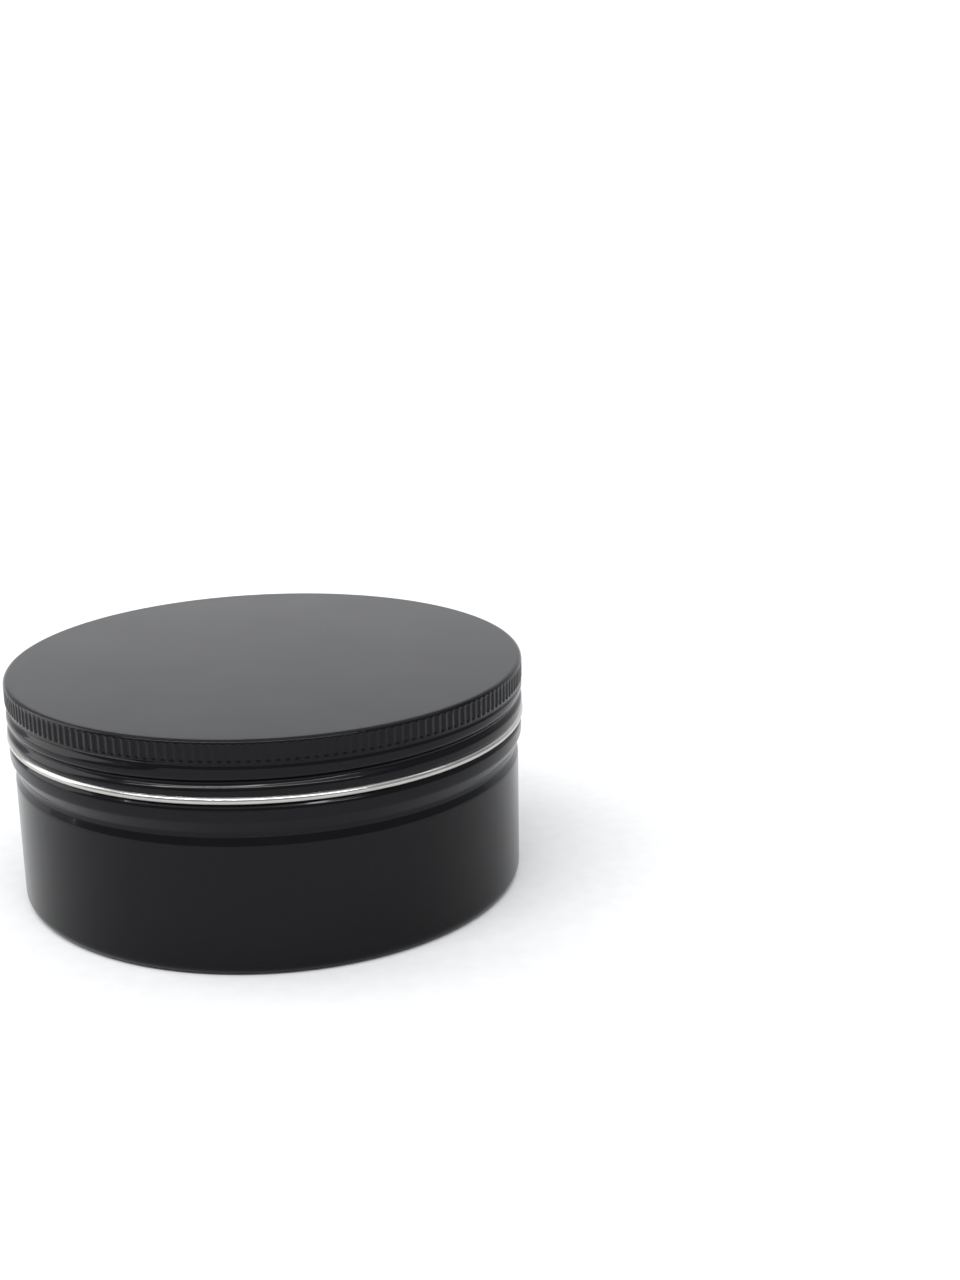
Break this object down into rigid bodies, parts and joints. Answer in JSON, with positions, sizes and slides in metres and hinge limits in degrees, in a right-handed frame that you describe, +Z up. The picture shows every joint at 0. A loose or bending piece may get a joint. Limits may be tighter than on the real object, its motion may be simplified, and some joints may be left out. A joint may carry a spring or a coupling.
{
  "type": "screw-top candle tin",
  "caption": "Shallow round aluminium candle tin with a threaded neck, rolled rim and a fluted screw lid with a foam liner.",
  "frame": {"origin": "middle of the underside, on the surface that the tin stands on", "axes": "+Z up along the axis of the tin and of its thread; X and Y are across the tin"},
  "size_m": [0.0918, 0.0918, 0.0405],
  "materials": {
    "can_coating": "satin black",
    "lid_coating": "satin black",
    "liner_foam": "matt white foam"
  },
  "bodies": {
    "base": {"base_can": "can_coating"},
    "liner": {"lid_liner": "liner_foam"},
    "lid": {"screw_lid": "lid_coating"}
  },
  "joints": [
    {"name": "lid_rise", "type": "slide", "parent": "base", "child": "liner", "axis": [0, 0, 1], "range_m": [0, 0.0107]},
    {"name": "lid_turn", "type": "hinge", "parent": "liner", "child": "lid", "pos_m": [0, 0, 0.03], "axis": [0, 0, 1], "range_deg": [0, 1350]}
  ],
  "couplings": [
    {"joint": "lid_rise", "follows": "lid_turn", "m_per_rad": 0.00045359}
  ]
}
